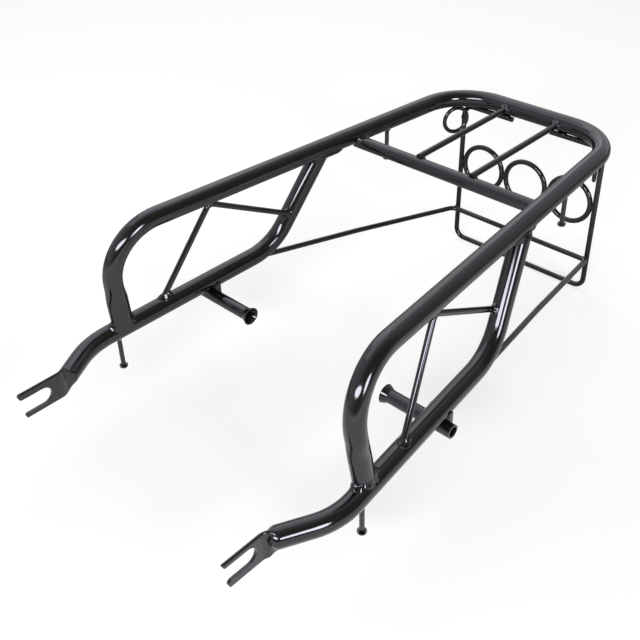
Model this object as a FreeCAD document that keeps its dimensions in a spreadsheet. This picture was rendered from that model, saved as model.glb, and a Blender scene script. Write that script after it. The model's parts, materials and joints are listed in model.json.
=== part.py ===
import FreeCAD, Part
import math
import os
import Sketcher

# Rear luggage carrier for a moped or small motorcycle, welded up from bent steel tube and rod.
# Frame: X across (+X is the carrier's right side seen from behind the forks), the fork ends point
# to -Y, the rear run of the top hoop lies at +Y and +Z is up. The origin is the middle of the
# length and width, at the height of the lowest rod of the rear panel.

Vector = FreeCAD.Vector

# ---------------------------------------------------------------------------------- sizes

SIZES = (
    # stock
    ("tube_dia", 16, "hoop and side tubes, outside"),
    ("tube_wall", 1.5, "wall of the hoop and side tubes"),
    ("cross_dia", 12, "cross tube, outside"),
    ("cross_wall", 1.5, "wall of the cross tube"),
    ("deck_rod_dia", 5.5, "rods along the deck"),
    ("brace_dia", 5, "V-shaped brace rods"),
    ("panel_dia", 5, "rod of the rear panel's frame"),
    ("stay_dia", 5, "rod of the U-shaped stay"),
    ("band_rod_dia", 5, "rod of the rings in the panel"),
    ("corner_rod_dia", 4, "rod of the rings under the hoop's rear bends"),
    ("weld_gap", 0.15, "gap left for the weld where round stock lies on round stock"),
    # top hoop
    ("deck_height", 164.5, "height of the hoop's axis"),
    ("rear_y", 250, "axis of the hoop's rear run"),
    ("rear_half", 86.6, "half width between the arms' axes at the rear run"),
    ("rear_bend", 50, "bend radius of the rear corners"),
    ("front_y", -157, "where the arms turn down into the legs"),
    ("front_half", 124.9, "half width between the arms' axes at the legs"),
    ("front_bend", 44, "bend radius from arm to leg"),
    ("leg_foot_y", -147, "where a leg lands on the side tube's axis"),
    ("leg_foot_inset", 1.3, "how far inside that axis it lands"),
    ("foot_press_drop", 1.5, "from the end of that bend down to where a leg is pressed oval"),
    ("foot_press_length", 16, "length over which the round tube becomes oval"),
    ("foot_width", 19.4, "the oval, along the side tube"),
    ("foot_depth", 12.8, "the oval, across the side tube"),
    # side tubes
    ("rail_front_y", -178.9, "front end of the long straight run"),
    ("rail_front_half", 137.1, "its half width there"),
    ("rail_front_z", 67.3, "its height there"),
    ("rail_front_bend", 60, "bend radius there"),
    ("rail_rear_y", 14.1, "rear end of the long straight run"),
    ("rail_rear_half", 120.5, "its half width there"),
    ("rail_rear_z", 78.5, "its height there"),
    ("rail_rear_bend", 47, "bend radius there, up into the riser"),
    ("riser_top_y", 69.3, "where the riser reaches the arm's axis"),
    ("riser_outset", 1.8, "how far outside that axis it is"),
    ("riser_lap", 2, "how far the riser's end laps up beside the arm"),
    # fork ends, pressed flat from the side tubes by hand, so that no two are quite alike
    ("fork_half", 114.3, "half distance between the fork blades"),
    ("fork_z", 64.8, "height of the slots' middle"),
    ("left_bend_y", -221, "where the left blade turns to point forwards"),
    ("right_bend_y", -224.3, "where the right blade turns to point forwards"),
    ("fork_bend", 10, "bend radius there"),
    ("fork_tip_y", -258, "tips of the prongs"),
    ("fork_depth", 24.6, "blade, top to bottom"),
    ("fork_thick", 2.6, "blade thickness, the two walls pressed together"),
    ("left_blade_z", 65.6, "height of the left blade's middle"),
    ("right_blade_z", 63.6, "height of the right blade's middle"),
    ("left_neck_z", 65.2, "height of the left tube's axis, carried on to the blade's bend"),
    ("right_neck_z", 67.7, "height of the right tube's axis there"),
    ("left_neck_length", 1.5, "flat blade between the left pressing and the bend"),
    ("right_neck_length", 0.5, "flat blade between the right pressing and the bend"),
    ("press_length", 7, "length over which the round tube is pressed flat"),
    ("bore_slit", 0.3, "what the pressing leaves of the bore between the blade's walls"),
    ("bore_seam", 3, "how far the blade's walls meet above and below that slit"),
    ("slot_width", 14.6, "slot in the blade"),
    ("slot_end_y", -230.7, "round closed end of the slot"),
    ("prong_step", 3, "how much shorter the lower prong is"),
    # braces
    ("brace_foot_y", -109.7, "where the front leg of a brace meets the side tube's axis"),
    ("brace_apex_y", -57.1, "corner of the brace, under the arm"),
    ("brace_bend", 5, "bend radius of that corner"),
    ("brace_outset", 1.4, "how far outside the axes of rail and arm its front leg stands"),
    ("brace_rise", 0.344, "where the rear leg lands on the riser, as a share of its height"),
    ("brace_inset", 4, "how far inside the riser's axis it lands"),
    # deck
    ("cross_y", 109.2, "axis of the cross tube"),
    ("cross_drop", 7.2, "cross tube's axis below the arms' axes"),
    ("deck_rod_half", 28, "half distance between the deck rods"),
    ("deck_rod_drop", 0.5, "deck rods' axes below the arms' axes"),
    # rear panel
    ("panel_inset", 3, "panel's plane, forward of the rear run's axis"),
    ("panel_half", 77, "half distance between the uprights' axes"),
    ("panel_bend", 10, "bend radius of the panel's corners"),
    ("panel_mouth", 42, "opening between the inward ends of the top rod"),
    ("band_z", 92.2, "height of the rings' middle"),
    ("corner_ring_dia", 29, "ring under each rear bend, outside"),
    # stay
    ("stay_z", 37.6, "height of the stay's cross bar"),
    ("stay_half", 79, "half width at its rear corners"),
    ("stay_bend", 8, "bend radius of its rear corners"),
    ("stay_knee_half", 102.3, "half width at the gentle knee of its arms"),
    ("stay_knee_y", 113, "that knee"),
    ("stay_knee_z", 58.2, "its height"),
    ("stay_knee_bend", 155, "bend radius of that knee"),
    ("stay_tip_half", 123.6, "half width at the front ends, inside the side tubes"),
    ("stay_tip_y", -1, "those ends"),
    ("stay_tip_z", 73.4, "their height"),
    # sleeves and saddle plates
    ("sleeve_dia", 11.4, "outside of the sleeves"),
    ("sleeve_bore", 8.4, "hole for an M8 bolt"),
    ("sleeve_y", -56.9, "axis of the sleeves"),
    ("sleeve_gap", 1.4, "between the sleeve and the side tube above it"),
    ("sleeve_inner", 75.3, "flared end, from the middle"),
    ("sleeve_outer", 139.3, "plain end, from the middle"),
    ("flare_dia", 16, "rim of the flare"),
    ("flare_length", 5.5, "length of the flare"),
    ("flare_wall", 1.2, "thickness of the flare's rim"),
    ("flare_blend", 5, "radius that blends the flare into the sleeve"),
    ("saddle_width", 19, "saddle plate, across the side tube"),
    ("saddle_thick", 3.5, "its thickness along the side tube"),
    ("saddle_shift", 2, "its middle, behind the sleeve's axis"),
    ("saddle_overlap", 2.85, "how far it reaches down past the top of the sleeve"),
    # studs
    ("stud_dia", 4, "shank of the studs"),
    ("stud_length", 31, "from the tube's underside to the end of the head"),
    ("stud_head_dia", 7.2, "head of the studs"),
    ("stud_head_depth", 2.2, "its depth"),
    ("stud_dome", 1.2, "rounding of the head"),
    ("stud_cope", 2, "extra length of the blank, taken off again where it is coped to the tube"),
    ("front_stud_y", -152.4, "studs under the side tubes"),
    ("rear_stud_y", 148, "studs under the arms"),
)

RING_COUNT = 3
PRESS_SHARES = (0, 0.2, 0.4, 0.6, 0.8, 1)
ROUND = 45
FLAT = 90
TOUCHING = 0.0001
SIDES = (("left", -1), ("right", 1))

doc = FreeCAD.newDocument("RearCarrier")
sheet = doc.addObject("Spreadsheet::Sheet", "Sizes")
for row, (alias, value, note) in enumerate(SIZES, start=1):
    sheet.set(f"A{row}", note)
    sheet.set(f"B{row}", str(value))
    sheet.setAlias(f"B{row}", alias)
doc.recompute()


def size(alias):
    """The value of one driving dimension."""
    return float(sheet.get(alias))


# ---------------------------------------------------------------------------------- bent stock

def bent_wire(corners, radii):
    """A wire of straight runs through the corners, joined by tangent arcs of the radii."""
    edges = []
    start = corners[0]
    for before, corner, after, radius in zip(corners, corners[1:], corners[2:], radii):
        arriving = (corner - before).normalize()
        leaving = (after - corner).normalize()
        half_turn = arriving.getAngle(leaving) / 2
        setback = radius * math.tan(half_turn)
        bisector = (leaving - arriving).normalize()
        first = corner - arriving * setback
        middle = corner + bisector * (radius / math.cos(half_turn) - radius)
        last = corner + leaving * setback
        if start.distanceToPoint(first) > TOUCHING:
            edges.append(Part.LineSegment(start, first).toShape())
        edges.append(Part.Arc(first, middle, last).toShape())
        start = last
    edges.append(Part.LineSegment(start, corners[-1]).toShape())
    return Part.Wire(edges)


def swept(wire, section):
    """The solid that a closed section makes along a wire, with its volume checked."""
    solid = wire.makePipeShell([section], True, False)
    expected = Part.Face(section).Area * wire.Length
    if abs(solid.Volume - expected) > 0.01 * expected:
        raise RuntimeError(f"sweep of {solid.Volume:.0f} mm3 where {expected:.0f} was expected")
    return solid


def round_bar(corners, radii, diameter):
    """A solid round bar bent through the corners."""
    wire = bent_wire(corners, radii)
    heading = corners[1] - corners[0]
    section = Part.Wire([Part.Circle(corners[0], heading, diameter / 2).toShape()])
    return swept(wire, section)


def oval(middle, across, up, width, depth, corner):
    """A wire of four arcs: a circle when width and depth are equal, an oval otherwise.

    The caps at top and bottom end at an angle from the vertical, the corner. At 90 degrees the
    sides between them are straight. The edges always come in the same order, so that a loft can
    join any two such wires.
    """
    half_width, half_depth = width / 2, depth / 2
    sine, cosine = math.sin(math.radians(corner)), math.cos(math.radians(corner))
    straight = cosine < TOUCHING
    cap = half_width
    if not straight:
        cap = (half_width * cosine - half_depth * (1 - sine)) / (sine + cosine - 1)
    side = cap * sine
    shoulder = half_depth - cap + cap * cosine

    def at(sideways, upwards):
        return middle + across * sideways + up * upwards

    def flank(sign):
        ends = at(sign * side, -sign * shoulder), at(sign * side, sign * shoulder)
        return Part.LineSegment(*ends) if straight else \
            Part.Arc(ends[0], at(sign * half_width, 0), ends[1])

    top = Part.Arc(at(side, shoulder), at(0, half_depth), at(-side, shoulder))
    bottom = Part.Arc(at(-side, -shoulder), at(0, -half_depth), at(side, -shoulder))
    return Part.Wire([curve.toShape() for curve in (top, flank(-1), bottom, flank(1))])


def own(side, alias):
    """A dimension that the left and the right side each have for themselves."""
    return size(("left_" if side < 0 else "right_") + alias)


def eased(first_last, share):
    """A value on its way from the first to the last, slow at both ends."""
    first, last = first_last
    return first + (last - first) * ((1 - math.cos(math.pi * share)) / 2)


def pressing(start, end, fall, across, ups, widths, depths, corners):
    """The solid in which a tube changes its section, and the wire of its last section.

    It runs straight from start to end, but for the fall by which the last section is shifted. Each
    of ups, widths, depths and corners is a pair: the value at the start and at the end.
    """
    sections = [
        oval(start + (end - start) * share + eased((Vector(), fall), share), across,
             eased(ups, share), eased(widths, share), eased(depths, share),
             eased(corners, share))
        for share in PRESS_SHARES
    ]
    return sections[-1], Part.makeLoft(sections, True, False)


# ---------------------------------------------------------------------------------- places

def between(first, last, y):
    """The point at a given y on the straight line through two points."""
    return first + (last - first) * ((y - first.y) / (last.y - first.y))


tube_radius = size("tube_dia") / 2
bore_dia = size("tube_dia") - 2 * size("tube_wall")
deck = size("deck_height")


def arm_at(side, y):
    """A point on the axis of one arm of the hoop."""
    front = Vector(side * size("front_half"), size("front_y"), deck)
    rear = Vector(side * size("rear_half"), size("rear_y"), deck)
    return between(front, rear, y)


def rail_at(side, y):
    """A point on the axis of the long straight run of one side tube."""
    front = Vector(side * size("rail_front_half"), size("rail_front_y"), size("rail_front_z"))
    rear = Vector(side * size("rail_rear_half"), size("rail_rear_y"), size("rail_rear_z"))
    return between(front, rear, y)


panel_y = size("rear_y") - size("panel_inset")
panel_top = deck - tube_radius - size("panel_dia") / 2 - size("weld_gap")


# ---------------------------------------------------------------------------------- hoop

def foot_places(side):
    """Where the pressing of one leg starts and ends under the front bend, and the leg's foot."""
    corner = arm_at(side, size("front_y"))
    foot = rail_at(side, size("leg_foot_y")) - Vector(side * size("leg_foot_inset"), 0, 0)
    down = (foot - corner).normalize()
    backwards = (arm_at(side, size("rear_y")) - corner).normalize()
    half_turn = (math.pi - down.getAngle(backwards)) / 2
    start = corner + down * (size("front_bend") * math.tan(half_turn) + size("foot_press_drop"))
    return start, start + down * size("foot_press_length"), foot


def pressed_foot(side, thinner):
    """One leg's end, pressed oval to sit on the side tube, smaller all round by a wall."""
    start, end, foot = foot_places(side)
    across = (foot - start).cross(Vector(0, 1, 0)).normalize()
    along = across.cross(foot - start).normalize()
    diameter = size("tube_dia") - 2 * thinner
    last, shape = pressing(
        start, end, Vector(), across, (along, along),
        (diameter, size("foot_depth") - 2 * thinner), (diameter, size("foot_width") - 2 * thinner),
        (ROUND, ROUND))
    return shape.fuse(Part.Face(last).extrude(foot - end))


def hoop_bar(diameter):
    """The top hoop as a solid bar: leg, arm, rear run, arm and leg in one bent piece."""
    right = [
        foot_places(1)[0],
        arm_at(1, size("front_y")),
        arm_at(1, size("rear_y")),
    ]
    left = [Vector(-point.x, point.y, point.z) for point in reversed(right)]
    bends = [size("front_bend"), size("rear_bend"), size("rear_bend"), size("front_bend")]
    bar = round_bar(right + left, bends, diameter)
    thinner = (size("tube_dia") - diameter) / 2
    return bar.fuse([pressed_foot(-1, thinner), pressed_foot(1, thinner)])


# ---------------------------------------------------------------------------------- side tubes

def side_places(side):
    """The corners of one side tube's axis, from the riser's top down to the fork's bend."""
    outset = Vector(side * size("riser_outset"), 0, 0)
    return [
        arm_at(side, size("riser_top_y")) + outset,
        rail_at(side, size("rail_rear_y")),
        rail_at(side, size("rail_front_y")),
        Vector(side * size("fork_half"), own(side, "bend_y"), own(side, "neck_z")),
    ]


def riser_cope(side):
    """What takes off the top of one riser: the arm itself, and all that stands higher beside it."""
    front, rear = arm_at(side, size("front_y")), arm_at(side, size("rear_y"))
    arm = Part.makeCylinder(tube_radius, (rear - front).Length, front, rear - front)
    top = side_places(side)[0]
    reach = size("tube_dia")
    level = deck - tube_radius + size("riser_lap")
    corner = Vector(top.x - reach, top.y - reach, level)
    return arm.fuse(Part.makeBox(2 * reach, 2 * reach, 2 * reach, corner))


def press_places(side):
    """Where the pressing of one side tube starts and ends on its axis, and the blade's start."""
    front_corner, fork_corner = side_places(side)[2:]
    level = Vector(fork_corner.x - front_corner.x, fork_corner.y - front_corner.y, 0)
    half_turn = level.getAngle(Vector(0, -1, 0)) / 2
    setback = size("fork_bend") * math.tan(half_turn) + own(side, "neck_length")
    heading = (fork_corner - front_corner).normalize()
    end = fork_corner - heading * setback
    return end - heading * size("press_length"), end, Vector(end.x, end.y, own(side, "blade_z"))


def side_bar(side, diameter, flat_thick, flat_depth):
    """One side tube as a solid: round bar down to the pressing, which brings it to a flat section."""
    corners = side_places(side)[:3]
    start, end, blade_start = press_places(side)
    bends = [size("rail_rear_bend"), size("rail_front_bend")]
    bar = round_bar(corners + [start], bends, diameter)
    up = Vector(0, 0, 1)
    across = (end - start).cross(up).normalize()
    square_up = across.cross(end - start).normalize()
    _, shape = pressing(
        start, end, blade_start - end, across, (square_up, up),
        (diameter, flat_thick), (diameter, flat_depth), (ROUND, FLAT))
    return bar.fuse(shape)


def fork_blade(side):
    """The flat end of one side tube: it bends forwards and is slotted, with rounded prongs."""
    start, end, blade_start = press_places(side)
    middle_z = own(side, "blade_z")
    corner = Vector(side * size("fork_half"), own(side, "bend_y"), middle_z)
    tip = Vector(corner.x, size("fork_tip_y"), middle_z)
    wire = bent_wire([blade_start, corner, tip], [size("fork_bend")])
    up = Vector(0, 0, 1)
    across = (end - start).cross(up).normalize()
    section = oval(blade_start, across, up, size("fork_thick"), size("fork_depth"), FLAT)
    blade = wire.makePipeShell([section], True, False)
    return blade.cut(fork_cutter(side))


def fork_cutter(side):
    """What is milled off one blade: the slot with its round end, and the prongs' ends."""
    slot_radius = size("slot_width") / 2
    reach = size("fork_depth")
    face = side * size("fork_half") - reach / 2
    middle_z = size("fork_z")
    slot_middle = size("slot_end_y") - slot_radius
    across = Vector(1, 0, 0)
    outside = size("fork_tip_y") - reach

    def box(last_y, low_z, high_z):
        return Part.makeBox(reach, last_y - outside, high_z - low_z, Vector(face, outside, low_z))

    slot = box(slot_middle, middle_z - slot_radius, middle_z + slot_radius)
    slot_end = Part.makeCylinder(slot_radius, reach, Vector(face, slot_middle, middle_z), across)
    cutter = slot.fuse(slot_end)
    for above, step in ((1, 0), (-1, size("prong_step"))):
        slot_z = middle_z + above * slot_radius
        edge_z = own(side, "blade_z") + above * size("fork_depth") / 2
        prong_radius = abs(edge_z - slot_z) / 2
        prong_z = (edge_z + slot_z) / 2
        round_y = size("fork_tip_y") + step + prong_radius
        end = box(round_y, prong_z - 2 * prong_radius, prong_z + 2 * prong_radius)
        round_tip = Part.makeCylinder(prong_radius, reach, Vector(face, round_y, prong_z), across)
        cutter = cutter.fuse(end.cut(round_tip))
    return cutter


def side_solid(side):
    """One side tube with its fork end, filled, before its ends are coped."""
    flat = side_bar(side, size("tube_dia"), size("fork_thick"), size("fork_depth"))
    return flat.fuse(fork_blade(side)).removeSplitter()


def side_hollow(side):
    """The bore of one side tube, which the pressing closes to a slit."""
    slit_depth = size("fork_depth") - 2 * size("bore_seam")
    return side_bar(side, bore_dia, size("bore_slit"), slit_depth)


# ---------------------------------------------------------------------------------- rods

def brace_bar(side):
    """One V-shaped brace: up from the side tube, under the arm, and down on to the riser."""
    outset = Vector(side * size("brace_outset"), 0, 0)
    foot = rail_at(side, size("brace_foot_y")) + outset
    apex = arm_at(side, size("brace_apex_y")) + outset
    riser_top, riser_foot = side_places(side)[:2]
    landing = riser_foot + (riser_top - riser_foot) * size("brace_rise")
    landing.x -= side * size("brace_inset")
    crest = deck - tube_radius - size("brace_dia") / 2 - size("weld_gap")
    for _ in range(4):
        wire = bent_wire([foot, apex, landing], [size("brace_bend")])
        apex.z += crest - wire.BoundBox.ZMax
    return round_bar([foot, apex, landing], [size("brace_bend")], size("brace_dia"))


def stay_bar():
    """The U-shaped stay: its cross bar lies in front of the panel's uprights."""
    bar_y = panel_y - (size("panel_dia") + size("stay_dia")) / 2 - size("weld_gap")
    right = [
        Vector(size("stay_tip_half"), size("stay_tip_y"), size("stay_tip_z")),
        Vector(size("stay_knee_half"), size("stay_knee_y"), size("stay_knee_z")),
        Vector(size("stay_half"), bar_y, size("stay_z")),
    ]
    left = [Vector(-point.x, point.y, point.z) for point in reversed(right)]
    bends = [size("stay_knee_bend"), size("stay_bend"), size("stay_bend"), size("stay_knee_bend")]
    return round_bar(right + left, bends, size("stay_dia"))


# ---------------------------------------------------------------------------------- objects

def feature(label, shape):
    """A document object that holds a shape made with Part's own functions."""
    made = doc.addObject("Part::Feature", label)
    made.Label = label
    made.Shape = shape
    made.Placement = FreeCAD.Placement()
    return made


def cut(label, base, tools):
    """The base less the tools, as a chain of Part::Cut objects; the last has the label."""
    for index, tool in enumerate(tools, start=1):
        step = doc.addObject("Part::Cut", f"{label}_cut_{index}")
        step.Base = base
        step.Tool = tool
        base = step
    base.Label = label
    return base


def origin_plane(body, role):
    """One of a body's own origin planes."""
    return next(plane for plane in body.Origin.OriginFeatures if plane.Role == role)


def new_sketch(body, name, role):
    """A sketch on one of the body's own origin planes."""
    made = body.newObject("Sketcher::SketchObject", name)
    made.AttachmentSupport = [(origin_plane(body, role), "")]
    made.MapMode = "FlatFace"
    return made


def tie(sketch, geometry, vertex, across, up):
    """Ties one vertex to the sheet: its distances from the sketch's origin are expressions."""
    for kind, expression in (("DistanceX", across), ("DistanceY", up)):
        value = float(sheet.evalExpression(expression))
        index = sketch.addConstraint(Sketcher.Constraint(kind, -1, 1, geometry, vertex, value))
        sketch.setExpression(f"Constraints[{index}]", expression)


def closed_outline(sketch, corners):
    """Draws a closed outline whose corners are pairs of expressions."""
    places = [Vector(float(sheet.evalExpression(a)), float(sheet.evalExpression(b)), 0)
              for a, b in corners]
    for index, place in enumerate(places):
        following = places[(index + 1) % len(places)]
        sketch.addGeometry(Part.LineSegment(place, following), False)
    for index in range(len(places)):
        following = (index + 1) % len(places)
        sketch.addConstraint(Sketcher.Constraint("Coincident", index, 2, following, 1))
    for index, (across, up) in enumerate(corners):
        tie(sketch, index, 1, across, up)


def turned_body(name, role, axis, corners):
    """A body turned about an axis of its sketch."""
    body = doc.addObject("PartDesign::Body", name)
    outline = new_sketch(body, f"{name}_outline", role)
    closed_outline(outline, corners)
    turned = body.newObject("PartDesign::Revolution", f"{name}_turned")
    turned.Profile = outline
    turned.ReferenceAxis = (outline, [axis])
    turned.Angle = 360
    body.Tip = turned
    return body


def round_edges(body, name, wanted, radius):
    """Fillets the edges of the body's tip that pass the test, by a radius from the sheet."""
    doc.recompute()
    base = body.Tip
    edges = enumerate(base.Shape.Edges, start=1)
    names = [f"Edge{index}" for index, edge in edges if wanted(edge)]
    fillet = body.newObject("PartDesign::Fillet", name)
    fillet.Base = (base, names)
    fillet.setExpression("Radius", radius)
    body.Tip = fillet


def is_circle(edge, radius, along, place):
    """Whether an edge is a whole circle of a radius whose middle is at a place on one axis."""
    curve = edge.Curve
    same_size = isinstance(curve, Part.Circle) and abs(curve.Radius - radius) < 0.001
    return same_size and abs(curve.Center[along] - place) < 0.001


# Tubes are kept filled while the ends that meet them are coped, and bored out last.

hoop_filled = feature("hoop_filled", hoop_bar(size("tube_dia")))
hoop_bore = feature("hoop_bore", hoop_bar(bore_dia))
side_filled = {side: feature(f"{name}_side_filled", side_solid(side)) for name, side in SIDES}
side_coped = {
    side: cut(f"{name}_side_coped", side_filled[side], [feature(f"{name}_cope", riser_cope(side))])
    for name, side in SIDES
}

nodes = []
nodes.append(cut("top_hoop", hoop_filled, [hoop_bore, side_coped[-1], side_coped[1]]))

for name, side in SIDES:
    side_bore = feature(f"{name}_side_bore", side_hollow(side))
    nodes.append(cut(f"{name}_side_tube", side_coped[side], [side_bore]))

for name, side in SIDES:
    brace = feature(f"{name}_brace_bar", brace_bar(side))
    nodes.append(cut(f"{name}_brace_rod", brace, [hoop_filled, side_filled[side]]))

stay = feature("stay_bar", stay_bar())
nodes.append(cut("panel_stay", stay, [side_filled[-1], side_filled[1]]))


# ---------------------------------------------------------------------------------- deck

def straight_bar(name, diameter, length, start, axis):
    """A Part::Cylinder with its diameter and length bound to the sheet."""
    bar = doc.addObject("Part::Cylinder", name)
    bar.setExpression("Radius", f"({diameter}) / 2")
    bar.setExpression("Height", length)
    bar.Placement = FreeCAD.Placement(start, FreeCAD.Rotation(Vector(0, 0, 1), axis))
    return bar


cross_end = arm_at(-1, size("cross_y")) - Vector(0, 0, size("cross_drop"))
cross_length = (
    "2 * (Sizes.front_half + (Sizes.rear_half - Sizes.front_half)"
    " * (Sizes.cross_y - Sizes.front_y) / (Sizes.rear_y - Sizes.front_y))"
)
cross_filled = straight_bar(
    "cross_filled", "Sizes.cross_dia", cross_length, cross_end, Vector(1, 0, 0))
cross_bore = straight_bar(
    "cross_bore", "Sizes.cross_dia - 2 * Sizes.cross_wall", cross_length, cross_end,
    Vector(1, 0, 0))
nodes.append(cut("cross_tube", cross_filled, [cross_bore, hoop_filled]))

for name, side in SIDES:
    deck_rod_start = Vector(
        side * size("deck_rod_half"), size("cross_y"), deck - size("deck_rod_drop"))
    deck_rod = straight_bar(
        f"{name}_deck_bar", "Sizes.deck_rod_dia", "Sizes.rear_y - Sizes.cross_y",
        deck_rod_start, Vector(0, 1, 0))
    nodes.append(cut(f"{name}_deck_rod", deck_rod, [hoop_filled, cross_filled]))


# ---------------------------------------------------------------------------------- rear panel

def panel_body():
    """The rear panel's frame: one rod bent to a C that is open at the top."""
    body = doc.addObject("PartDesign::Body", "panel_frame_body")
    path = new_sketch(body, "panel_path", "XZ_Plane")
    half = size("panel_half")
    mouth = size("panel_mouth") / 2
    low = size("panel_dia") / 2
    bend = size("panel_bend")
    runs = [
        (Vector(-mouth, panel_top, 0), Vector(-half + bend, panel_top, 0)),
        (Vector(-half, panel_top - bend, 0), Vector(-half, low + bend, 0)),
        (Vector(-half + bend, low, 0), Vector(half - bend, low, 0)),
        (Vector(half, low + bend, 0), Vector(half, panel_top - bend, 0)),
        (Vector(half - bend, panel_top, 0), Vector(mouth, panel_top, 0)),
    ]
    lines = [path.addGeometry(Part.LineSegment(first, last), False) for first, last in runs]
    top_height = ("Sizes.deck_height - Sizes.tube_dia / 2 - Sizes.panel_dia / 2"
                  " - Sizes.weld_gap")
    tie(path, lines[0], 1, "-Sizes.panel_mouth / 2", top_height)
    tie(path, lines[4], 2, "Sizes.panel_mouth / 2", top_height)
    tie(path, lines[2], 1, "-Sizes.panel_half + Sizes.panel_bend", "Sizes.panel_dia / 2")
    for line in (lines[0], lines[2], lines[4]):
        path.addConstraint(Sketcher.Constraint("Horizontal", line))
    for line in (lines[1], lines[3]):
        path.addConstraint(Sketcher.Constraint("Vertical", line))
    corners = ((-1, 1), (-1, -1), (1, -1), (1, 1))
    for index, (sideways, upwards) in enumerate(corners):
        height = panel_top - bend if upwards > 0 else low + bend
        middle = Vector(sideways * (half - bend), height, 0)
        facing = math.atan2(upwards, sideways)
        circle = Part.Circle(middle, Vector(0, 0, 1), bend)
        quarter = Part.ArcOfCircle(circle, facing - math.pi / 4, facing + math.pi / 4)
        arc = path.addGeometry(quarter, False)
        starts_low = quarter.StartPoint.distanceToPoint(runs[index][1]) < bend / 2
        near, far = (1, 2) if starts_low else (2, 1)
        path.addConstraint(Sketcher.Constraint("Tangent", lines[index], 2, arc, near))
        path.addConstraint(Sketcher.Constraint("Tangent", arc, far, lines[index + 1], 1))
        radius = path.addConstraint(Sketcher.Constraint("Radius", arc, bend))
        path.setExpression(f"Constraints[{radius}]", "Sizes.panel_bend")
    right_end = path.addConstraint(
        Sketcher.Constraint("DistanceX", -1, 1, lines[2], 2, half - bend))
    path.setExpression(f"Constraints[{right_end}]", "Sizes.panel_half - Sizes.panel_bend")
    section = new_sketch(body, "panel_section", "YZ_Plane")
    section.setExpression(".AttachmentOffset.Base.z", "-Sizes.panel_mouth / 2")
    ring = section.addGeometry(Part.Circle(Vector(0, panel_top, 0), Vector(0, 0, 1), low), False)
    tie(section, ring, 3, "0", top_height)
    radius = section.addConstraint(Sketcher.Constraint("Radius", ring, low))
    section.setExpression(f"Constraints[{radius}]", "Sizes.panel_dia / 2")
    doc.recompute()
    pipe = body.newObject("PartDesign::AdditivePipe", "panel_pipe")
    pipe.Profile = section
    pipe.Spine = (path, [f"Edge{number}" for number in range(1, len(path.Shape.Edges) + 1)])
    body.Tip = pipe
    body.Label = "panel_frame"
    body.Placement = FreeCAD.Placement(Vector(0, panel_y, 0), FreeCAD.Rotation())
    return body


nodes.append(panel_body())

# The rings of the band fill the width between the uprights and touch one another.
band_gap = "Sizes.weld_gap"
band_radius = (
    f"((2 * Sizes.panel_half - Sizes.panel_dia - {RING_COUNT + 1} * {band_gap})"
    f" / {RING_COUNT} - Sizes.band_rod_dia) / 2"
)
for number in range(1, RING_COUNT + 1):
    ring = doc.addObject("Part::Torus", f"ornament_ring_{number}")
    ring.setExpression("Radius1", band_radius)
    ring.setExpression("Radius2", "Sizes.band_rod_dia / 2")
    doc.recompute()
    pitch = 2 * (ring.Radius1.Value + ring.Radius2.Value) + size("weld_gap")
    ring_x = pitch * (number - (RING_COUNT + 1) / 2)
    ring.Placement = FreeCAD.Placement(
        Vector(ring_x, panel_y, size("band_z")), FreeCAD.Rotation(Vector(0, 0, 1), Vector(0, 1, 0)))
    nodes.append(ring)


def corner_ring_place(side):
    """Where a corner ring hangs: under the axis of the rear bend, just touching the upright.

    Returns its middle and the level direction in which its plane runs.
    """
    ring_radius = (size("corner_ring_dia") - size("corner_rod_dia")) / 2
    contact = (size("corner_rod_dia") + size("panel_dia")) / 2 + size("weld_gap")
    corner = arm_at(1, size("rear_y"))
    forward = (arm_at(1, size("front_y")) - corner).normalize()
    half_turn = (math.pi - forward.getAngle(Vector(-1, 0, 0))) / 2
    setback = size("rear_bend") * math.tan(half_turn)
    bend_middle = Vector(corner.x - setback, corner.y - size("rear_bend"), 0)
    upright = Vector(size("panel_half"), panel_y, 0)
    line = upright - bend_middle
    reach = math.hypot(ring_radius, contact)
    along = (size("rear_bend") ** 2 - reach ** 2 + line.Length ** 2) / (2 * line.Length)
    beside = math.sqrt(max(size("rear_bend") ** 2 - along ** 2, 0))
    towards = Vector(line).normalize()
    outwards = Vector(towards.y, -towards.x, 0)
    middle = bend_middle + towards * along + outwards * beside
    to_upright = upright - middle
    swing = math.asin(min(contact / to_upright.Length, 1))
    heading = math.atan2(to_upright.y, to_upright.x) + swing
    middle.z = deck - tube_radius - size("weld_gap") - size("corner_ring_dia") / 2
    return Vector(side * middle.x, middle.y, middle.z), \
        Vector(side * math.cos(heading), math.sin(heading), 0)


for name, side in SIDES:
    ring = doc.addObject("Part::Torus", f"{name}_corner_ring")
    ring.setExpression("Radius1", "(Sizes.corner_ring_dia - Sizes.corner_rod_dia) / 2")
    ring.setExpression("Radius2", "Sizes.corner_rod_dia / 2")
    middle, heading = corner_ring_place(side)
    facing = heading.cross(Vector(0, 0, 1))
    ring.Placement = FreeCAD.Placement(middle, FreeCAD.Rotation(Vector(0, 0, 1), facing))
    nodes.append(ring)


# ---------------------------------------------------------------------------------- sleeves

SLEEVE_OUTLINE = (
    ("0", "Sizes.sleeve_bore / 2"),
    ("Sizes.sleeve_outer - Sizes.sleeve_inner - Sizes.flare_length", "Sizes.sleeve_bore / 2"),
    ("Sizes.sleeve_outer - Sizes.sleeve_inner", "Sizes.flare_dia / 2 - Sizes.flare_wall"),
    ("Sizes.sleeve_outer - Sizes.sleeve_inner", "Sizes.flare_dia / 2"),
    ("Sizes.sleeve_outer - Sizes.sleeve_inner - Sizes.flare_length", "Sizes.sleeve_dia / 2"),
    ("0", "Sizes.sleeve_dia / 2"),
)
flare_start = size("sleeve_outer") - size("sleeve_inner") - size("flare_length")


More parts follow.
